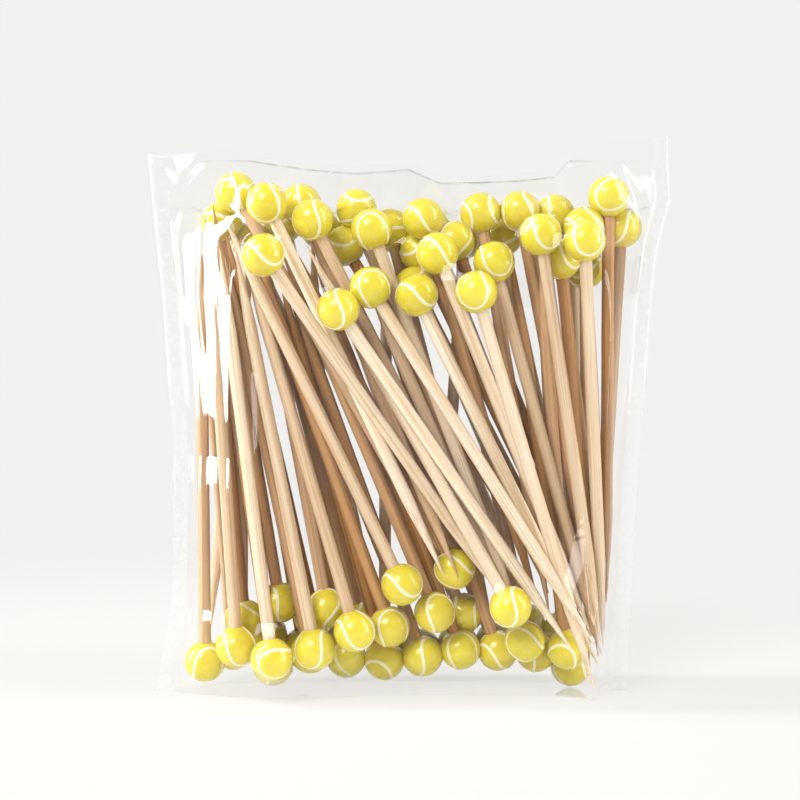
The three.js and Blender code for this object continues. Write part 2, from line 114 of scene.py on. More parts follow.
def crest(across):
    return POUCH_HEIGHT + MM * np.interp(across / POUCH_WIDTH, CREST_HEIGHTS[:, 0], CREST_HEIGHTS[:, 1])


# ---- Shader expressions
# Which output of a node is used, where it isn't the first one
ATTRIBUTE_VECTOR = 1
ATTRIBUTE_NUMBER = 2
OBJECT_PLACE = 3
FACING = 1
LENGTH = 1
MIXED_COLOUR = 2


class Value:
    """A shader socket that arithmetic can be written with."""

    def __init__(self, finish, socket):
        self.finish = finish
        self.socket = socket

    def math(self, operation, *others):
        return self.finish.math(operation, self, *others)

    def __add__(self, other):
        return self.math("ADD", other)

    def __radd__(self, other):
        return self.finish.math("ADD", other, self)

    def __sub__(self, other):
        return self.math("SUBTRACT", other)

    def __rsub__(self, other):
        return self.finish.math("SUBTRACT", other, self)

    def __mul__(self, other):
        return self.math("MULTIPLY", other)

    def __pow__(self, other):
        return self.math("POWER", other)


class Finish:
    """A procedural material, or the world's, that is written as expressions."""

    def __init__(self, name, world=None):
        self.material = world or bpy.data.materials.new(name)
        self.material.use_nodes = True
        self.tree = self.material.node_tree
        self.tree.nodes.clear()

    def node(self, kind, settings=None, values=None, output=0):
        made = self.tree.nodes.new(kind)
        for key, setting in (settings or {}).items():
            setattr(made, key, setting)
        for key, value in (values or {}).items():
            if isinstance(value, Value):
                self.tree.links.new(value.socket, made.inputs[key])
            else:
                made.inputs[key].default_value = value
        return Value(self, made.outputs[output])

    def math(self, operation, *terms):
        return self.node("ShaderNodeMath", {"operation": operation}, dict(enumerate(terms)))

    def mix(self, share, first, second):
        values = {0: share, 6: first, 7: second}
        return self.node("ShaderNodeMix", {"data_type": "RGBA"}, values, MIXED_COLOUR)

    def smooth(self, value, low, high):
        values = {"Value": value, "From Min": low, "From Max": high}
        return self.node("ShaderNodeMapRange", {"interpolation_type": "SMOOTHSTEP"}, values)

    def object_place(self):
        return self.node("ShaderNodeTexCoord", None, None, OBJECT_PLACE)

    def attribute(self, name, output=ATTRIBUTE_NUMBER):
        return self.node("ShaderNodeAttribute", {"attribute_name": name}, None, output)

    def stretched(self, vector, scale):
        return self.node("ShaderNodeVectorMath", {"operation": "MULTIPLY"}, {0: vector, 1: scale})

    def noise(self, vector, scale, detail=2, roughness=0.5):
        values = {"Vector": vector, "Scale": scale, "Detail": detail, "Roughness": roughness}
        return self.node("ShaderNodeTexNoise", None, values)

    def bump(self, height, distance, strength):
        values = {"Height": height, "Distance": distance, "Strength": strength}
        return self.node("ShaderNodeBump", None, values)

    def rays(self, *kinds):
        """1 for rays of these kinds, such as "Camera", and 0 for all others."""
        path = self.node("ShaderNodeLightPath").socket.node
        total = Value(self, path.outputs[f"Is {kinds[0]} Ray"])
        for kind in kinds[1:]:
            total = self.math("MAXIMUM", total, Value(self, path.outputs[f"Is {kind} Ray"]))
        return total

    def principled(self, values):
        return self.surface(self.node("ShaderNodeBsdfPrincipled", None, values))

    def surface(self, shader, output="ShaderNodeOutputMaterial"):
        made = self.tree.nodes.new(output)
        self.tree.links.new(shader.socket, made.inputs["Surface"])
        return self.material


# Bamboo: pale and warm streaks, each from its fresh colour to a dark brown, with fibre lines and a few darker
# flecks. The dark end is partly tone that differs by chance and partly painted shade deep in the crowd
PALE_BAMBOO = (0.92, 0.835, 0.67, 1), (0.50, 0.25, 0.075, 1)
WARM_BAMBOO = (0.84, 0.66, 0.44, 1), (0.31, 0.125, 0.03, 1)
FIBRE_LINE = (0.50, 0.29, 0.12, 1)
FLECK = (0.30, 0.15, 0.06, 1)
# Lacquer: two yellows in soft clouds, and the deeper one that some heads lean to
YELLOW = (0.80, 0.70, 0.050, 1), (0.70, 0.58, 0.030, 1)
DEEP_YELLOW = (0.64, 0.47, 0.020, 1)
CREAM = (0.93, 0.90, 0.70, 1), (0.86, 0.80, 0.52, 1)
# Film: how much it mirrors seen straight on, and the colour of its haze
WHITE = (1, 1, 1, 1)
STRAIGHT_MIRROR = 0.012
HAZE = (0.93, 0.94, 0.95, 1)


def bamboo_finish():
    finish = Finish("bamboo")
    place = finish.attribute("grain_place", ATTRIBUTE_VECTOR)
    tone = finish.attribute("stick_tone_and_shade")
    fibres = finish.noise(finish.stretched(place, (2600, 2600, 34)), 1, 3, 0.6)
    streaks = finish.noise(finish.stretched(place, (760, 760, 9)), 1, 2, 0.5)
    flecks = finish.noise(finish.stretched(place, (1500, 1500, 110)), 1, 2, 0.5)
    # Sticks deep in the crowd lean to the dark ends: painted shade, mixed with tone that differs by chance
    pale = finish.mix(tone, *PALE_BAMBOO)
    warm = finish.mix(tone, *WARM_BAMBOO)
    colour = finish.mix(finish.smooth(streaks, 0.42, 0.68), pale, warm)
    lines = finish.smooth(fibres, 0.47, 0.66)
    colour = finish.mix(lines * 0.5, colour, FIBRE_LINE)
    colour = finish.mix(finish.smooth(flecks, 0.66, 0.8) * 0.35, colour, FLECK)
    normal = finish.bump(fibres + streaks * 0.6, 0.25 * MM, 0.6)
    return finish.principled({
        "Base Color": colour, "Roughness": 0.5 + fibres * 0.2, "Specular IOR Level": 0.2, "Normal": normal})


def bead_finish():
    finish = Finish("bead_lacquer")
    place = finish.object_place()
    cloud = finish.noise(place, 260, 2, 0.5)
    skin = finish.noise(place, 900, 2, 0.5)
    tone = finish.attribute("bead_tone")
    colour = finish.mix(cloud, *YELLOW)
    colour = finish.mix(tone, colour, DEEP_YELLOW)
    return finish.principled({
        "Base Color": colour,
        "Roughness": 0.20 + skin * 0.12,
        "Coat Weight": 0.35,
        "Coat Roughness": 0.06,
        "Normal": finish.bump(skin, 0.08 * MM, 0.35),
    })


def seam_finish():
    finish = Finish("bead_seam")
    place = finish.object_place()
    grain = finish.noise(place, 1400, 2, 0.5)
    return finish.principled({
        "Base Color": finish.mix(grain, *CREAM),
        "Roughness": 0.30 + grain * 0.15,
        "Normal": finish.bump(grain, 0.05 * MM, 0.3),
    })


def film_finish(name, milk):
    """Thin clear film: a sharp mirror over what is behind it, and milky where it is welded."""
    finish = Finish(name)
    place = finish.object_place()
    weld = finish.attribute("weld")
    edge = finish.node("ShaderNodeLayerWeight", None, {"Blend": 0.5}, FACING)
    mirror = STRAIGHT_MIRROR + (edge ** 5) * (1 - STRAIGHT_MIRROR)
    ripple = finish.noise(finish.stretched(place, (1, 1, 0.35)), 90, 3, 0.55)
    pucker = finish.node("ShaderNodeTexVoronoi", None, {"Vector": place, "Scale": 420})
    normal = finish.bump(ripple * 0.5 + pucker * weld * 0.22, 0.8 * MM, 0.22)
    clear = finish.node("ShaderNodeBsdfTransparent", None, {"Color": WHITE})
    gloss = finish.node("ShaderNodeBsdfGlossy", None, {"Color": WHITE, "Roughness": 0.035, "Normal": normal})
    haze = finish.node("ShaderNodeBsdfDiffuse", None, {"Color": HAZE, "Normal": normal})
    film = finish.node("ShaderNodeMixShader", None, {0: mirror, 1: clear, 2: gloss})
    cloudy = finish.smooth(pucker, 0.1, 0.6) * weld * 0.03 + milk
    return finish.surface(finish.node("ShaderNodeMixShader", None, {0: cloudy, 1: film, 2: haze}))


BAMBOO = bamboo_finish()
BEAD = bead_finish()
SEAM = seam_finish()
FILM = film_finish("clear_film", 0.002)
TAPE = film_finish("adhesive", 0.012)


# ---- Modelling helpers
SHARP_EDGE = math.radians(40)


def only(*pieces):
    bpy.ops.object.select_all(action="DESELECT")
    for piece in pieces:
        piece.select_set(True)
    bpy.context.view_layer.objects.active = pieces[0]


def start_edit(piece):
    only(piece)
    bpy.ops.object.mode_set(mode="EDIT")
    bpy.context.tool_settings.mesh_select_mode = (False, False, True)


def pick_faces(piece, wanted):
    bpy.ops.mesh.select_all(action="DESELECT")
    shape = bmesh.from_edit_mesh(piece.data)
    for face in shape.faces:
        face.select_set(wanted(face))
    bmesh.update_edit_mesh(piece.data)


def end_edit():
    bpy.ops.object.mode_set(mode="OBJECT")


def apply_place(piece):
    only(piece)
    bpy.ops.object.transform_apply(location=True, rotation=True, scale=True)


def own_copy(piece, name, matrix):
    """A copy with its own mesh, put in place in its mesh."""
    made = piece.copy()
    made.data = piece.data.copy()
    made.name = name
    made.data.name = name
    made.data.transform(matrix)
    bpy.context.scene.collection.objects.link(made)
    return made


def join(name, pieces):
    only(*pieces)
    if len(pieces) > 1:
        bpy.ops.object.join()
    pieces[0].name = name
    pieces[0].data.name = name
    return pieces[0]


def fill_attribute(piece, name, kind, values):
    data = piece.data.attributes.new(name, kind, "POINT").data
    key = "vector" if kind == "FLOAT_VECTOR" else "value"
    data.foreach_set(key, np.ascontiguousarray(values, np.float32).ravel())


def places(piece):
    flat = np.zeros(len(piece.data.vertices) * 3, np.float32)
    piece.data.vertices.foreach_get("co", flat)
    return flat.reshape(-1, 3).astype(float)


# ---- One stick: round shaft from inside the head down to a turned point, head's centre at the origin
STICK_SIDES = 18
SHAFT_STEPS = 7
SHAFT_DRIFT = 0.035 * MM
SHAFT_UNEVENNESS = 0.014
# How far down the taper, as a share, and how wide there, as a share of the shaft
TAPER_STATIONS = [(0.22, 0.84), (0.46, 0.62), (0.70, 0.39), (0.88, 0.20), (0.97, 0.10), (1.0, 0.045)]
STICK_TOP = BORE_DEPTH - GLUE_GAP - math.sqrt(BEAD_RADIUS ** 2 - BORE_RADIUS ** 2)


def model_stick(name, chance):
    shaft_end = TAPER_LENGTH - REACH
    step = (STICK_TOP - shaft_end) / SHAFT_STEPS
    bpy.ops.mesh.primitive_cylinder_add(
        vertices=STICK_SIDES, radius=STICK_RADIUS, depth=step, location=(0, 0, STICK_TOP - step / 2))
    stick = bpy.context.object
    stick.name = name
    apply_place(stick)
    start_edit(stick)
    pick_faces(stick, lambda face: face.normal.z < -0.9)
    height = STICK_TOP - step
    centre = Vector((0, 0, height))
    width = 1.0
    for _ in range(SHAFT_STEPS - 1):
        drift = Vector((*chance.normal(0, SHAFT_DRIFT, 2), -step))
        bpy.ops.mesh.extrude_region_move(TRANSFORM_OT_translate={"value": drift})
        centre += drift
        wanted = 1 + chance.normal(0, SHAFT_UNEVENNESS)
        bpy.ops.transform.resize(value=(wanted / width, wanted / width, 1), center_override=centre)
        width = wanted
    previous = 0.0
    for station, radius in TAPER_STATIONS:
        drop = (station - previous) * TAPER_LENGTH
        bpy.ops.mesh.extrude_region_move(TRANSFORM_OT_translate={"value": (0, 0, -drop)})
        centre += Vector((0, 0, -drop))
        bpy.ops.transform.resize(value=(radius / width, radius / width, 1), center_override=centre)
        width = radius
        previous = station
    end_edit()
    bpy.ops.object.shade_smooth_by_angle(angle=SHARP_EDGE)
    fill_attribute(stick, "grain_place", "FLOAT_VECTOR", places(stick))
    stick.data.materials.append(BAMBOO)
    return stick


# ---- One head: a ball with a blind bore below for the stick
BALL_SEGMENTS = 36
BALL_RINGS = 18
BORE_RIM = 0.12 * MM


def model_ball():
    bpy.ops.mesh.primitive_uv_sphere_add(segments=BALL_SEGMENTS, ring_count=BALL_RINGS, radius=BEAD_RADIUS)
    ball = bpy.context.object
    ball.name = "ball"
    start_edit(ball)

    def over_bore(face):
        middle = face.calc_center_median()
        return middle.z < 0 and math.hypot(middle.x, middle.y) < BORE_RADIUS

    pick_faces(ball, over_bore)
    bpy.ops.mesh.inset(thickness=BORE_RIM)
    bpy.ops.mesh.extrude_region_move(TRANSFORM_OT_translate={"value": (0, 0, BORE_DEPTH)})
    end_edit()
    bpy.ops.object.shade_smooth_by_angle(angle=SHARP_EDGE)
    ball.data.materials.append(BEAD)
    return ball


# ---- The raised seam line that runs round a head in one closed wave
SEAM_STEPS = 56
SEAM_SIDES = 6
SEAM_WIDTH = 0.88 * MM
SEAM_RISE = 0.10 * MM
SEAM_SWING = 0.74
SEAM_SHARP_EDGE = math.radians(60)
SMALL_TURN = 1e-3


def model_seam():
    bpy.ops.mesh.primitive_torus_add(
        major_segments=SEAM_STEPS, minor_segments=SEAM_SIDES,
        major_radius=BEAD_RADIUS, minor_radius=SEAM_WIDTH / 2)
    seam = bpy.context.object
    seam.name = "seam"
    turn = np.repeat(np.arange(SEAM_STEPS) / SEAM_STEPS * 2 * math.pi, SEAM_SIDES)
    around = np.tile(np.arange(SEAM_SIDES) / SEAM_SIDES * 2 * math.pi, SEAM_STEPS)
    big, small = SEAM_SWING, 1 - SEAM_SWING

    def line(t):
        wave = np.stack([
            big * np.cos(t) + small * np.cos(3 * t),
            big * np.sin(t) - small * np.sin(3 * t),
            2 * math.sqrt(big * small) * np.sin(2 * t)], 1)
        return wave / np.linalg.norm(wave, axis=1, keepdims=True)

    out = line(turn)
    ahead = line(turn + SMALL_TURN) - out
    across = np.cross(out, ahead)
    across /= np.linalg.norm(across, axis=1, keepdims=True)
    side = np.cos(around)[:, None] * SEAM_WIDTH / 2
    rise = np.sin(around)[:, None] * SEAM_RISE
    spot = out * (BEAD_RADIUS + rise) + across * side
    seam.data.vertices.foreach_set("co", spot.astype(np.float32).ravel())
    start_edit(seam)
    bpy.ops.mesh.select_all(action="SELECT")
    bpy.ops.mesh.normals_make_consistent(inside=False)
    end_edit()
    bpy.ops.object.shade_smooth_by_angle(angle=SEAM_SHARP_EDGE)
    seam.data.materials.append(SEAM)
    return seam


# ---- Where the picks lie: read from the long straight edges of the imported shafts
# Edges of one shaft run the same way to within SAME_LINE, at most SAME_SHAFT apart, LEAST_LINES or more
LONG_EDGE = 45 * MM
SAME_LINE = 3e-4
SAME_SHAFT = 3.7 * MM
LEAST_LINES = 4
NEAR_HEAD = 20 * MM
# The corners of the joined balls lie 3% outside a round ball. Each is looked for along its shaft
JOINED_BALL_RADIUS = BEAD_RADIUS * 1.03
BALL_FIT = 0.1 * MM
BALL_TRIES = np.arange(-70, 40, 0.1) * MM


class Pick:
    def __init__(self, head, point, body):
        self.head = head
        self.point = point
        self.body = body
        self.along = (point - head) / np.linalg.norm(point - head)


def shaft_axis(lines, way):
    """A point on the axis of a round shaft whose long edges start at these points and run this way."""
    side = np.cross(way, (0, 1, 0))
    side /= np.linalg.norm(side)
    across = np.cross(way, side)
    flat = np.column_stack([(lines - lines[0]) @ side, (lines - lines[0]) @ across])
    fit = np.linalg.lstsq(np.column_stack([2 * flat, np.ones(len(flat))]), (flat ** 2).sum(1), rcond=None)[0]
    return lines[0] + fit[0] * side + fit[1] * across


def ball_centre(spots, shaft_end, along):
    """Where the ball of a joined pick is on its shaft: where most corners lie on the ball's surface."""
    tries = shaft_end + BALL_TRIES[:, None] * along
    away = np.abs(np.linalg.norm(spots[None] - tries[:, None], axis=2) - JOINED_BALL_RADIUS)
    return tries[np.argmax((1 - away / BALL_FIT).clip(0).sum(1))]


def shaft_picks(node, head_side, body):
    """Every pick whose shaft is in this node. head_side is a point for one pick, or +1 or -1 up."""
    mesh = frame["nodes"][node].data
    spots = np.array([vertex.co for vertex in mesh.vertices], float)
    ends = np.array([edge.vertices for edge in mesh.edges])
    starts, stops = spots[ends[:, 0]], spots[ends[:, 1]]
    flip = starts[:, 2] > stops[:, 2]
    low, high = np.where(flip[:, None], stops, starts), np.where(flip[:, None], starts, stops)
    spans = np.linalg.norm(high - low, axis=1)
    order = np.argsort(-spans, kind="stable")
    order = order[spans[order] > LONG_EDGE]
    low, high, spans = low[order], high[order], spans[order]
    ways = (high - low) / spans[:, None]
    used = np.zeros(len(low), bool)
    found = []
    for index in range(len(low)):
        if used[index]:
            continue
        offset = (low - low[index]) - ((low - low[index]) @ ways[index])[:, None] * ways[index]
        same = (np.linalg.norm(np.cross(ways, ways[index]), axis=1) < SAME_LINE) & ~used
        same &= np.linalg.norm(offset, axis=1) < SAME_SHAFT
        lines = np.unique(np.round((low[index] + offset)[same], 6), axis=0)
        if len(lines) < LEAST_LINES:
            continue
        used |= same
        axis = ways[index]
        middle = shaft_axis(lines, axis)
        bottom, top = ((low[same] - middle) @ axis).min(), ((high[same] - middle) @ axis).max()
        if isinstance(head_side, int):
            along = -axis * head_side
            head = ball_centre(spots, middle + axis * (top if head_side > 0 else bottom), along)
            found.append(Pick(head, head + along * REACH, body))
            continue
        head_up = head_side[2] > middle[2] + axis[2] * top - NEAR_HEAD
        along = -axis if head_up else axis
        point = middle + axis * (bottom if head_up else top) + along * TAPER_LENGTH
        found.append(Pick(point - along * REACH, point, body))
    return sorted(found, key=lambda pick: tuple(np.round(pick.head, 5)))


def middle_of(node):
    low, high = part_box(node)
    return np.array((low + high) / 2)


def body_of(number):
    """The pick's own body, or the pouch's where the fold leaves the pick no play."""
    return f"pick_{number}" if f"pick_{number}" in frame["bodies"] else "pouch"


BUNDLES = {
    "back_picks_heads_up": 1,
    "back_picks_heads_down": -1,
    "inner_picks_heads_up": 1,
    "inner_picks_heads_down": -1,
}
loose_numbers = sorted(name[-2:] for name in frame["nodes"] if name.startswith("stick_"))
loose_picks = {
    number: shaft_picks(f"stick_{number}", middle_of(f"bead_{number}"), body_of(number))[0]
    for number in loose_numbers
}
bundle_picks = {name: shaft_picks(name, side, "pouch") for name, side in BUNDLES.items()}
all_picks = [*loose_picks.values(), *(pick for picks in bundle_picks.values() for pick in picks)]


# ---- Sticks and heads in place
def pick_matrix(pick, spin):
    """Local -Z along the pick, head's centre at the local origin."""
    turn = Vector((0, 0, -1)).rotation_difference(Vector(pick.along)).to_matrix().to_4x4()
    return Matrix.Translation(Vector(pick.head)) @ turn @ Matrix.Rotation(spin, 4, "Z")


# Turns of the seam line, in degrees about X, Y and Z, on the heads that show in front. The joined
# heads among them are named by where they are, x and z in millimetres.
SEAM_TURNS = {
    "01": (-13, 2, -114), "02": (-4, 15, 161), "03": (85, 53, -67), "04": (-178, 7, 112),
    "05": (133, 8, -164), "06": (-169, 10, 145), "07": (-5, -19, -20), "08": (-176, 22, 147),
    "09": (168, 26, 157), "10": (10, 6, -119), "11": (-162, 5, -107), "12": (-174, 42, 173),
    "13": (-30, -35, 39), "14": (-136, 34, -143), "15": (14, -25, -94), "16": (-161, -16, 10),
    "17": (-18, 11, 125), "18": (177, -24, 49), "19": (-177, 31, -168), "20": (180, 41, -180),
    "21": (-173, -17, -64), "22": (16, -3, -71), "23": (3, 41, 173), "24": (169, 14, 99),
    "25": (-163, 23, -115), "26": (-22, 10, 98),
}
JOINED_SEAM_TURNS = [
    ((-18, 136), (-167, -31, -8)), ((-3, 138), (4, 37, -171)), ((5, 133), (179, 33, -146)),
    ((17, 133), (86, -29, 179)), ((28, 136), (-151, 7, -56)), ((40, 137), (104, 35, 12)),
    ((54, 140), (133, 28, -49)), ((62, 131), (168, -5, -83)), ((48, 133), (127, -2, 152)),
    ((49, 6), (160, -19, 35)), ((-46, 6), (41, 17, 1)), ((-39, 27), (-170, 2, -1)),
    ((-19, 9), (34, 17, -105)), ((-8, 10), (54, -22, 7)), ((1, 11), (-9, 6, 90)),
    ((15, 14), (166, -9, 53)), ((25, 12), (-152, -27, -16)),
]
FRONT_HEAD_LIMIT = 4 * MM
STICK_MODELS = 4
ANY_TURN = 6.28

# Darkness of a stick's colour: painted shade, more in the middle of the crowd where the picks shade each
# other, and tone that differs by chance
CROWD_MIDDLE_Y = 2 * MM
CROWD_REACH_Y = 15 * MM
INWARD_PAINTED_SHADE = 0.85
INWARD_SHADE_POWER = 1.2
CHANCE_TONE = 0.6
CHANCE_SPREAD = (1.1, 3.0)
MOST_BEAD_TONE = 0.35


def joined_seam_turns():
    """The turn for each front head of the bundles: the nearest head in front to each place."""
    joined = [pick for picks in bundle_picks.values() for pick in picks if pick.head[1] < FRONT_HEAD_LIMIT]
    turns = {}
    for (x, z), turn in JOINED_SEAM_TURNS:
        nearest = min(joined, key=lambda pick: math.hypot(pick.head[0] - x * MM, pick.head[2] - z * MM))
        turns.setdefault(id(nearest), turn)
    return turns


chance = np.random.default_rng(7)
joined_turns = joined_seam_turns()
stick_models = [model_stick(f"stick_model_{index}", chance) for index in range(STICK_MODELS)]
ball_model = model_ball()
seam_model = model_seam()


def crowd_shade_share(pick):
    """1 in the middle of the crowd, where the sticks' colour is darkened as painted shade, 0 at its front and
    back.
    """
    middle = (pick.head[1] + pick.point[1]) / 2
    return float(np.clip(1 - abs(middle - CROWD_MIDDLE_Y) / CROWD_REACH_Y, 0, 1))


def dress_pick(name, pick, seam_turn=None):
    model = stick_models[chance.integers(STICK_MODELS)]
    stick = own_copy(model, f"shaft_{name}", pick_matrix(pick, chance.uniform(0, ANY_TURN)))
    shift = chance.uniform(0, 1, 3)
    grain = np.zeros(len(stick.data.vertices) * 3, np.float32)
    grain_data = stick.data.attributes["grain_place"].data
    grain_data.foreach_get("vector", grain)
    grain_data.foreach_set("vector", (grain.reshape(-1, 3) + shift).astype(np.float32).ravel())
    # Painted shade: sticks in the middle of the crowd get a darker colour, added to tone that differs by
    # chance
    tone = INWARD_PAINTED_SHADE * crowd_shade_share(pick) ** INWARD_SHADE_POWER + CHANCE_TONE * chance.beta(*CHANCE_SPREAD)
    tone = np.clip(tone, 0, 1)
    fill_attribute(stick, "stick_tone_and_shade", "FLOAT", np.full(len(stick.data.vertices), tone))
    head = Matrix.Translation(Vector(pick.head))
    ball = own_copy(ball_model, f"ball_{name}", pick_matrix(pick, chance.uniform(0, ANY_TURN)))
    any_turn = chance.uniform(0, ANY_TURN, 3)
    turn = Euler(any_turn if seam_turn is None else np.radians(seam_turn)).to_matrix().to_4x4()
    seam = own_copy(seam_model, f"seam_{name}", head @ turn)
    for part in (ball, seam):
        bead_tone = chance.uniform(0, MOST_BEAD_TONE)
        fill_attribute(part, "bead_tone", "FLOAT", np.full(len(part.data.vertices), bead_tone))
    return stick, join(f"ball_{name}", [ball, seam])


for number, pick in loose_picks.items():
    stick, ball = dress_pick(number, pick, SEAM_TURNS.get(number))
    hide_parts(f"stick_{number}")
    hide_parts(f"bead_{number}")
    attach(stick, pick.body)
    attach(ball, pick.body)

for bundle, picks in bundle_picks.items():
    made = [
        dress_pick(f"{bundle}_{index}", pick, joined_turns.get(id(pick))) for index, pick in enumerate(picks)]
    place = bundle.replace("_picks", "")
    sticks = join(f"{place}_sticks", [stick for stick, _ in made])
    balls = join(f"{place}_balls", [ball for _, ball in made])
    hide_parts(bundle)
    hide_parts(bundle)
    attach(sticks, "pouch")
    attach(balls, "pouch")

for model in (*stick_models, ball_model, seam_model):
    bpy.data.objects.remove(model)

# ---- The film
FILM_COLUMNS = 140
WELD_COLUMNS = 3
FRONT_ROWS = 190
BACK_ROWS = 80
BASE_ROWS = 10
FILM_THICKNESS = 0.1 * MM
FILM_ROOM = 0.45 * MM
PLAY = 2 * MM
EDGE_DEPTH = 0.15 * MM
LEAST_DEPTH = 0.2 * MM
RELAX_PASSES = 1200
BASE_DRAW = 0.92
NO_SPAN = 1e-9
BASE_LIFT = 0.1 * MM

# Near the sides the film is too stiff to sag between the picks, over these x, in millimetres
STIFF_SIDES = ((-41, -48), (49, 55))

# Creases pressed into the front film: points in x and z, height and half width, in millimetres
CREASES = [
    (((-71.4, 149.7), (-64.5, 141.9), (-61.4, 139)), 0.7, 1.5),
    (((-56.7, 151.1), (-64.5, 141.9), (-67.5, 138)), 0.7, 1.5),
    (((-63.1, 142.8), (-47, 133.9)), 0.5, 1.4),
    (((-62, 137.2), (-65, 127.5), (-62.8, 102.5)), 0.5, 1.6),
    (((-57.5, 131), (-58.3, 112), (-56.7, 94.2)), 0.3, 1.2),
    (((-51.2, 149.7), (-46.1, 142.8), (-45.3, 133.9)), 0.4, 1.2),
    (((-65.5, 92), (-63.1, 49.7)), 0.4, 1.5),
    (((57.7, 150.3), (64.1, 134.4), (66, 120)), 0.6, 1.5),
    (((55.8, 144.2), (51.9, 134.4), (54.4, 128.9)), 0.5, 1.3),
    (((68.3, 147), (66.9, 110.8), (65, 90)), 0.4, 1.4),
    (((43.6, 110.8), (45.2, 98.3)), 0.4, 1.1),
    (((49.7, 74.7), (53, 63.6)), 0.4, 1.1),
    (((29.4, 74.2), (34.1, 65)), 0.4, 1.1),
    (((37.7, 48.6), (50.8, 49.7)), 0.35, 1.0),
    (((38.6, 45), (48.9, 46.7)), 0.35, 1.0),
    (((53, 38.6), (56.3, 27.5)), 0.5, 1.3),
    (((47.5, 23.5), (54.4, 30.3), (57.5, 31)), 0.5, 1.3),
    (((-33.1, 15), (-33.6, 8)), 0.35, 1.0),
    (((-31.7, 4.4), (-2.5, 5.3), (30.8, 6.1), (41.9, 12.2)), 0.4, 1.3),
    (((-20, 148), (-2, 143), (14, 145)), 0.4, 1.4),
    (((30, 146.5), (44, 149), (50, 152)), 0.4, 1.4),
]


def film_shares():
    """Places of the columns from weld to weld, from -1 to 1 and closer together near the sides."""
    even = np.linspace(-1, 1, FILM_COLUMNS + 1)
    return (even + np.sin(even * math.pi / 2)) / 2


def film_grid(levels, top_of):
    """x and z of a sheet's points. Rows go up by the levels, columns from left edge to right edge."""
    shares = film_shares()
    rough_x = shares * POUCH_WIDTH / 2
    z = levels[:, None] * top_of(rough_x)[None, :]
    left = side_at(LEFT_EDGE, z) + WELD_WIDTH
    right = side_at(RIGHT_EDGE, z) - WELD_WIDTH
    x = left + (right - left) * (shares[None, :] + 1) / 2
    weld = np.linspace(0, WELD_WIDTH, WELD_COLUMNS + 1)[1:]
    left = x[:, :1] - weld[::-1][None, :]
    right = x[:, -1:] + weld[None, :]
    x = np.hstack([left, x, right])
    z = np.hstack([np.repeat(z[:, :1], WELD_COLUMNS, 1), z, np.repeat(z[:, -1:], WELD_COLUMNS, 1)])
    return x, z


def head_span(pick):
    """Stations along the pick that its head's centre passes in its play, which is upwards."""
    if pick.body == "pouch":
        return 0, 0
    return (-PLAY, 0) if pick.along[2] < 0 else (0, PLAY)


def cover(x, z, way):
    """Least depth at each point that clears every pick, towards -Y for way -1 or +Y for way 1."""
    depth = np.full(x.shape, LEAST_DEPTH)
    shaft = REACH - TAPER_LENGTH / 2
    for pick in all_picks:
        flat = pick.along[0] ** 2 + pick.along[2] ** 2
        beside = ((x - pick.head[0]) * pick.along[0] + (z - pick.head[2]) * pick.along[2]) / flat
        for start, stop, radius in (
                (*head_span(pick), BEAD_RADIUS), (0, shaft, STICK_RADIUS), (shaft, REACH, STICK_RADIUS / 2)):
            reach = radius + FILM_ROOM
            station = np.clip(beside, start, stop)
            nearest = [pick.head[axis] + station * pick.along[axis] for axis in range(3)]
            away = np.hypot(x - nearest[0], z - nearest[2])
            out = way * nearest[1]
            rise = np.sqrt(np.clip(reach ** 2 - away ** 2, 0, None))
            depth = np.where(away < reach, np.maximum(depth, out + rise), depth)
    return depth


def creased(x, z):
    """How far the creases stand out of the front film. Each one dies away towards its two ends."""
    rise = np.zeros(x.shape)
    for points, height, reach in CREASES:
        points = np.array(points) * MM
        steps = np.diff(points, axis=0)
        lengths = np.linalg.norm(steps, axis=1)
        gone = np.concatenate([[0], np.cumsum(lengths)])
        best = np.full(x.shape, np.inf)
        where = np.zeros(x.shape)
        for index, (start, step, length) in enumerate(zip(points, steps, lengths)):
            share = np.clip(((x - start[0]) * step[0] + (z - start[1]) * step[1]) / length ** 2, 0, 1)
            away = np.hypot(x - start[0] - share * step[0], z - start[1] - share * step[1])
            where = np.where(away < best, (gone[index] + share * length) / gone[-1], where)
            best = np.minimum(best, away)
        ridge = np.clip(1 - best / (reach * MM), 0, None) * np.sqrt(np.sin(math.pi * where))
        rise = np.maximum(rise, height * MM * ridge)
    return rise


def stiffened(x, z, depth):
    """Near the sides each upright line of the film is its own straight-sided upper hull."""
    stiff = depth.copy()
    for column in range(depth.shape[1]):
        hull = []
        for row in range(depth.shape[0]):
            while len(hull) > 1:
                first, second = hull[-2:]
                span = (z[row, column] - z[first, column]) or NO_SPAN
                share = (z[second, column] - z[first, column]) / span
                if depth[second, column] > (1 - share) * depth[first, column] + share * depth[row, column]:
                    break
                hull.pop()
            hull.append(row)
        stiff[:, column] = np.interp(z[:, column], z[hull, column], depth[hull, column])
    share = np.zeros(x.shape)
    for near, far in STIFF_SIDES:
        share = np.maximum(share, np.clip((x - near * MM) / ((far - near) * MM), 0, 1))
    return depth + (stiff - depth) * share


def drawn_taut(least, fixed):
    """The film between what pushes it out: relaxed until it hangs straight between its supports."""
    depth = least.copy()
    middle, base, above_base = np.s_[1:-1, 1:-1], np.s_[0, 1:-1], np.s_[1, 1:-1]
    for _ in range(RELAX_PASSES):
        inner = (depth[1:-1, :-2] + depth[1:-1, 2:] + depth[:-2, 1:-1] + depth[2:, 1:-1]) / 4
        depth[middle] = np.where(fixed[middle], depth[middle], np.maximum(least[middle], inner))
        drawn_in = np.maximum(least[base], BASE_DRAW * depth[above_base])
        depth[base] = np.where(fixed[base], depth[base], drawn_in)
    return depth


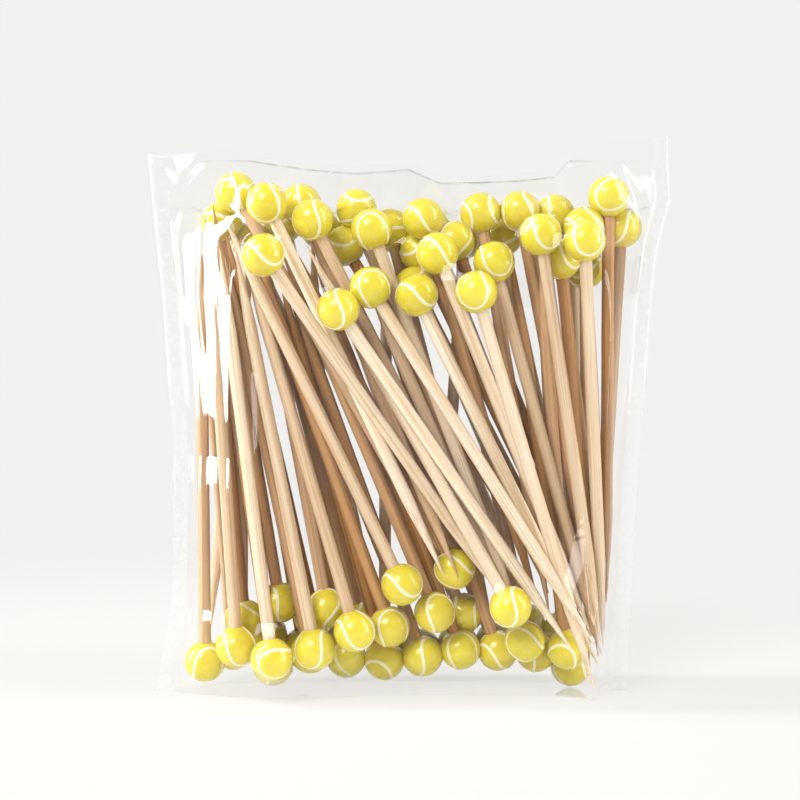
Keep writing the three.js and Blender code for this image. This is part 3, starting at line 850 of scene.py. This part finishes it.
def skin(levels, top_of, way):
    """x, y, z and weld flags of the film on one side, towards -Y for way -1 or +Y for way 1."""
    x, z = film_grid(levels, top_of)
    least = cover(x, z, way)
    weld = np.zeros(x.shape, bool)
    weld[:, :WELD_COLUMNS + 1] = True
    weld[:, -WELD_COLUMNS - 1:] = True
    held = weld.copy()
    held[-1, :] = True
    least[held] = EDGE_DEPTH
    depth = stiffened(x, z, drawn_taut(least, held))
    if way < 0:
        depth += creased(x, z) * ~held
    return x, way * depth, z, weld


def sheet_piece(name, x, y, z, weld, material):
    rows, columns = x.shape
    bpy.ops.mesh.primitive_grid_add(x_subdivisions=columns - 1, y_subdivisions=rows - 1)
    sheet = bpy.context.object
    sheet.name = name
    sheet.data.name = name
    sheet.data.vertices.foreach_set("co", np.stack([x, y, z], -1).astype(np.float32).ravel())
    fill_attribute(sheet, "weld", "FLOAT", weld.astype(float).ravel())
    sheet.data.materials.append(material)
    only(sheet)
    bpy.ops.object.shade_smooth()
    thick = sheet.modifiers.new("thickness", "SOLIDIFY")
    thick.thickness = FILM_THICKNESS
    thick.offset = 0
    bpy.ops.object.modifier_apply(modifier="thickness")
    return sheet


def level_top(across):
    return np.full(across.shape, POUCH_HEIGHT)


front_levels = np.linspace(0, 1, FRONT_ROWS)
back_levels = np.linspace(0, 1, BACK_ROWS) * MOUTH_HEIGHT / POUCH_HEIGHT
front_x, front_y, front_z, front_weld = skin(front_levels, crest, -1)
back_x, back_y, back_z, back_weld = skin(back_levels, level_top, 1)
front_z[0] = BASE_LIFT
back_z[0] = BASE_LIFT
across = np.linspace(0, 1, BASE_ROWS + 2)[1:-1, None]
base_x = back_x[0] + (front_x[0] - back_x[0]) * across
base_y = back_y[0] + (front_y[0] - back_y[0]) * across
base_z = np.full(base_x.shape, BASE_LIFT)
base_weld = np.repeat(front_weld[:1], BASE_ROWS, 0)
pouch = sheet_piece(
    "film_pouch",
    np.vstack([back_x[::-1], base_x, front_x]),
    np.vstack([back_y[::-1], base_y, front_y]),
    np.vstack([back_z[::-1], base_z, front_z]),
    np.vstack([back_weld[::-1], base_weld, front_weld]),
    FILM)
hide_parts("pouch_film")
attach(pouch, "pouch")

# ---- The closing flap, folded over behind the mouth, and its adhesive strip
FLAP_LEVELS = np.linspace(0, 1, 141)
FLAP_FIRST = 105  # the first of these levels that the flap reaches down to
TAPE_ROWS = 11
TAPE_INSET = 3
FLAP_LIFT = 1.0 * MM
TAPE_LIFT = 0.5 * MM


def fold(across):
    return np.minimum(POUCH_HEIGHT, crest(across) - LEAST_CREST)


FLAP_ROWS = slice(FLAP_FIRST, None)
TAPE_BAND = slice(FLAP_FIRST, FLAP_FIRST + TAPE_ROWS)
flap_x, flap_y, flap_z, _ = skin(FLAP_LEVELS, fold, 1)
for name, node, slot, rows, inset, lift, material in (
        ("flap_film", "closing_flap", "film", FLAP_ROWS, 0, FLAP_LIFT, FILM),
        ("flap_tape", "adhesive_strip", "tape", TAPE_BAND, TAPE_INSET, TAPE_LIFT, TAPE)):
    part = rows, slice(inset, flap_x.shape[1] - inset)
    unwelded = np.zeros(flap_x[part].shape)
    piece = sheet_piece(name, flap_x[part], flap_y[part] + lift, flap_z[part], unwelded, material)
    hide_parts(node)
    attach(piece, "flap")

# ---- Studio: a pale paper floor, a room that lights from the front, two tall strip lights and a softbox
BACKGROUND = (0.885, 0.885, 0.865, 1)
PAPER = (0.88, 0.872, 0.85, 1), (0.86, 0.852, 0.83, 1)
FLOOR_RADIUS = 8
# The eye sees this share of glow in the floor near the pouch, and glow alone from the far radius on
FLOOR_GLOW = 0.75
GLOW_NEAR = 0.10
GLOW_FAR = 0.34
ROOM_LIGHT = (1, 0.985, 0.96, 1)
FRONT_FROM = -0.7
FRONT_TO = 0.5


def studio_floor():
    bpy.ops.mesh.primitive_circle_add(vertices=96, radius=FLOOR_RADIUS, fill_type="NGON")
    floor = bpy.context.object
    floor.name = "studio_floor"
    finish = Finish("floor_paper")
    place = finish.object_place()
    away = finish.node("ShaderNodeVectorMath", {"operation": "LENGTH"}, {0: place}, LENGTH)
    grain = finish.noise(place, 700, 2, 0.5)
    glow_share = FLOOR_GLOW + finish.smooth(away, GLOW_NEAR, GLOW_FAR) * (1 - FLOOR_GLOW)
    share = glow_share * finish.rays("Camera", "Glossy", "Transmission")
    paper = finish.node("ShaderNodeBsdfDiffuse", None, {"Color": finish.mix(grain, *PAPER)})
    glow = finish.node("ShaderNodeEmission", None, {"Color": BACKGROUND, "Strength": 1})
    floor.data.materials.append(
        finish.surface(finish.node("ShaderNodeMixShader", None, {0: share, 1: paper, 2: glow})))


def studio_world():
    """The eye sees an even pale backdrop. The room lights from the front, and gloss mirrors it dim there."""
    world = bpy.data.worlds.new("studio")
    bpy.context.scene.world = world
    finish = Finish("studio", world)
    way = finish.node("ShaderNodeTexCoord", None, None, 0)
    way_y = finish.node("ShaderNodeSeparateXYZ", None, {0: way}, 1)
    front = 1 - finish.smooth(way_y, FRONT_FROM, FRONT_TO)
    lit = front * 0.32 + 0.05
    mirrored = 0.88 - front * 0.55
    gloss = finish.rays("Glossy")
    strength = lit + gloss * (mirrored - lit)
    room = finish.node("ShaderNodeBackground", None, {"Color": ROOM_LIGHT, "Strength": strength})
    seen = finish.node("ShaderNodeBackground", None, {"Color": BACKGROUND, "Strength": 1})
    share = finish.rays("Camera", "Transmission")
    finish.surface(
        finish.node("ShaderNodeMixShader", None, {0: share, 1: room, 2: seen}), "ShaderNodeOutputWorld")


def studio_light(name, azimuth, elevation, distance, width, height, radiance):
    """A rectangular lamp aimed at the pouch. At no elevation it stands on the floor."""
    data = bpy.data.lights.new(name, "AREA")
    data.shape = "RECTANGLE"
    data.size = width
    data.size_y = height
    data.energy = radiance * math.pi * width * height
    lamp = bpy.data.objects.new(name, data)
    bpy.context.scene.collection.objects.link(lamp)
    turn, rise = math.radians(azimuth), math.radians(elevation)
    aim = Vector((0, 0, POUCH_HEIGHT / 2 if elevation else height / 2))
    way = Vector((math.sin(turn) * math.cos(rise), -math.cos(turn) * math.cos(rise), math.sin(rise)))
    lamp.location = aim + way * distance
    lamp.rotation_euler = (-way).to_track_quat("-Z", "Y").to_euler()


studio_floor()
studio_world()
# Azimuth and elevation in degrees, distance, width and height in metres, then radiance
studio_light("left_strip", -92, 0, 0.9, 0.12, 1.5, 30)
studio_light("right_strip", 76, 0, 0.9, 0.22, 1.5, 10)
studio_light("softbox", -32, 38, 1.1, 0.5, 0.5, 12)

scene = bpy.context.scene
scene.view_settings.view_transform = "Standard"
scene.cycles.transparent_max_bounces = 24
